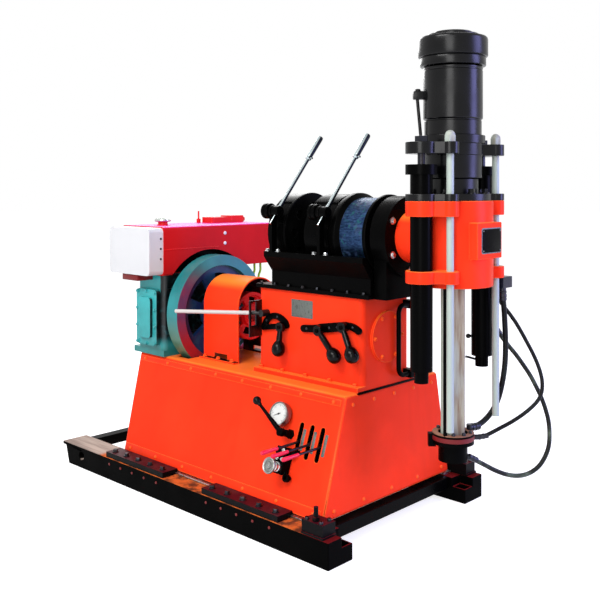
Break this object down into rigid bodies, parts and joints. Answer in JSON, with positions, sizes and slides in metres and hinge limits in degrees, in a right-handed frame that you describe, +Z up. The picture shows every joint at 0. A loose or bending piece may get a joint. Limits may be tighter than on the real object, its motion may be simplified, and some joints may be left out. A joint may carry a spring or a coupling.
{
  "type": "core drilling rig",
  "caption": "Skid-mounted spindle core drilling rig with a diesel engine, gearbox, winch with hand brakes, and a swivelling rotator with hydraulic feed and chuck.",
  "frame": {"origin": "on the ground under the middle of the rig's box", "axes": "+X from the engine to the spindle, -Y the operator's side, +Z up"},
  "size_m": [2.0249, 0.9592, 1.806],
  "materials": {
    "black": "satin",
    "chrome": "polished",
    "orange": "gloss",
    "red": "gloss",
    "rubber": "matte",
    "steel": "satin",
    "teal": "satin",
    "white": "gloss"
  },
  "bodies": {
    "skid": {"near_runner": "black", "far_runner": "black", "cross_beams": "black", "hold_down_plates": "black", "stop_blocks": "black", "slide_barrel": "black"},
    "rig": {"slide_shoes": "steel", "slide_rod": "steel", "cabinet": "orange", "oil_tank": "steel", "gearbox_case": "orange", "shift_gates": "black", "return_pipe": "black", "clutch_guard": "orange", "crankcase": "teal", "crankcase_cover": "teal", "cylinder_head": "teal", "radiator_hood": "white", "fuel_tank": "red", "engine_top_cover": "red", "winch_base": "black", "front_housing": "black", "brake_bands": "black", "valve_block": "black", "pressure_gauge": "chrome"},
    "cap": {"filler_cap": "red"},
    "crank": {"flywheel": "teal", "crankshaft": "steel"},
    "input": {"clutch_wheel": "red", "input_shaft": "steel"},
    "idler": {"idler_gear": "steel"},
    "main_shaft": {"winch_shaft": "steel"},
    "lift": {"lift_drum": "black"},
    "rope": {"rope_drum": "steel"},
    "lift_brake": {"lift_lever": "chrome"},
    "rope_brake": {"brake_lever": "chrome"},
    "clutch": {"clutch_lever": "white"},
    "shift_1": {"shift_lever_1": "black"},
    "shift_2": {"shift_lever_2": "black"},
    "shift_3": {"shift_lever_3": "black"},
    "valve_1": {"valve_lever_1": "red"},
    "valve_2": {"valve_lever_2": "red"},
    "valve_3": {"valve_lever_3": "red"},
    "ball": {"ball_lever": "black"},
    "wheel": {"handwheel": "chrome"},
    "rotator": {"rotator_housing": "orange", "bearing_cover": "black", "feed_cylinders": "black", "rod_holder": "black", "hose_fittings": "steel", "hose_a": "rubber", "hose_b": "rubber", "hose_c": "rubber"},
    "pinion": {"bevel_pinion": "steel"},
    "sleeve": {"drive_sleeve": "steel"},
    "feed": {"crosshead": "black", "guide_rods": "chrome", "piston_rods": "chrome", "upper_chuck": "black"},
    "spindle": {"spindle": "steel"}
  },
  "joints": [
    {"name": "rig_slide", "type": "slide", "parent": "skid", "child": "rig", "axis": [1, 0, 0], "range_m": [-0.3, 0]},
    {"name": "cap_turn", "type": "hinge", "parent": "rig", "child": "cap", "pos_m": [-0.65, -0.15, 1.085], "axis": [0, 0, 1], "range_deg": [0, 90]},
    {"name": "crank_spin", "type": "hinge", "parent": "rig", "child": "crank", "pos_m": [-0.44, 0, 0.697], "axis": [1, 0, 0], "continuous": true},
    {"name": "input_spin", "type": "hinge", "parent": "rig", "child": "input", "pos_m": [-0.2, 0, 0.697], "axis": [1, 0, 0], "continuous": true},
    {"name": "idler_spin", "type": "hinge", "parent": "rig", "child": "idler", "pos_m": [0.2, 0, 0.887], "axis": [1, 0, 0], "continuous": true},
    {"name": "shaft_spin", "type": "hinge", "parent": "rig", "child": "main_shaft", "pos_m": [0.2, 0, 1.077], "axis": [1, 0, 0], "continuous": true},
    {"name": "lift_drum_spin", "type": "hinge", "parent": "rig", "child": "lift", "pos_m": [0.09, 0, 1.077], "axis": [1, 0, 0], "continuous": true},
    {"name": "rope_drum_spin", "type": "hinge", "parent": "rig", "child": "rope", "pos_m": [0.4, 0, 1.077], "axis": [1, 0, 0], "continuous": true},
    {"name": "lift_lever_pull", "type": "hinge", "parent": "rig", "child": "lift_brake", "pos_m": [0.111, -0.177, 1.165], "axis": [1, 0, 0], "range_deg": [0, 28]},
    {"name": "brake_lever_pull", "type": "hinge", "parent": "rig", "child": "rope_brake", "pos_m": [0.364, -0.177, 1.165], "axis": [1, 0, 0], "range_deg": [0, 28]},
    {"name": "clutch_lever_move", "type": "hinge", "parent": "rig", "child": "clutch", "pos_m": [0.041, -0.16, 0.752], "axis": [0, 1, 0], "range_deg": [-10, 10]},
    {"name": "shift_1_move", "type": "hinge", "parent": "rig", "child": "shift_1", "pos_m": [0.137, -0.169, 0.706], "axis": [0, 1, 0], "range_deg": [-12, 12]},
    {"name": "shift_2_move", "type": "hinge", "parent": "rig", "child": "shift_2", "pos_m": [0.34, -0.169, 0.716], "axis": [0, 1, 0], "range_deg": [-12, 12]},
    {"name": "shift_3_move", "type": "hinge", "parent": "rig", "child": "shift_3", "pos_m": [0.461, -0.169, 0.742], "axis": [0, 1, 0], "range_deg": [-12, 12]},
    {"name": "valve_1_move", "type": "hinge", "parent": "rig", "child": "valve_1", "pos_m": [0.362, -0.27424, 0.32707], "axis": [1, 0, 0], "range_deg": [-10, 10]},
    {"name": "valve_2_move", "type": "hinge", "parent": "rig", "child": "valve_2", "pos_m": [0.414, -0.27424, 0.32707], "axis": [1, 0, 0], "range_deg": [-10, 10]},
    {"name": "valve_3_move", "type": "hinge", "parent": "rig", "child": "valve_3", "pos_m": [0.466, -0.27424, 0.32707], "axis": [1, 0, 0], "range_deg": [-10, 10]},
    {"name": "ball_lever_turn", "type": "hinge", "parent": "rig", "child": "ball", "pos_m": [0.318, -0.29537, 0.345], "axis": [0, -0.9391, 0.3436], "range_deg": [-40, 40]},
    {"name": "handwheel_turn", "type": "hinge", "parent": "rig", "child": "wheel", "pos_m": [0.33, -0.33671, 0.232], "axis": [0, -0.9391, 0.3436], "range_deg": [0, 720]},
    {"name": "rotator_swivel", "type": "hinge", "parent": "rig", "child": "rotator", "pos_m": [0.645, 0, 1.077], "axis": [1, 0, 0], "range_deg": [-90, 90]},
    {"name": "pinion_spin", "type": "hinge", "parent": "rotator", "child": "pinion", "pos_m": [0.7, 0, 1.077], "axis": [1, 0, 0], "continuous": true},
    {"name": "sleeve_spin", "type": "hinge", "parent": "rotator", "child": "sleeve", "pos_m": [0.831, 0, 1.077], "axis": [0, 0, 1], "continuous": true},
    {"name": "feed_slide", "type": "slide", "parent": "rotator", "child": "feed", "axis": [0, 0, 1], "range_m": [0, 0.45]},
    {"name": "spindle_spin", "type": "hinge", "parent": "feed", "child": "spindle", "pos_m": [0.831, 0, 1.077], "axis": [0, 0, 1], "continuous": true}
  ],
  "couplings": [
    {"joint": "input_spin", "follows": "shaft_spin", "ratio": 1},
    {"joint": "idler_spin", "follows": "shaft_spin", "ratio": -0.58333},
    {"joint": "pinion_spin", "follows": "shaft_spin", "ratio": 1},
    {"joint": "sleeve_spin", "follows": "shaft_spin", "ratio": -0.5},
    {"joint": "spindle_spin", "follows": "shaft_spin", "ratio": -0.5}
  ]
}
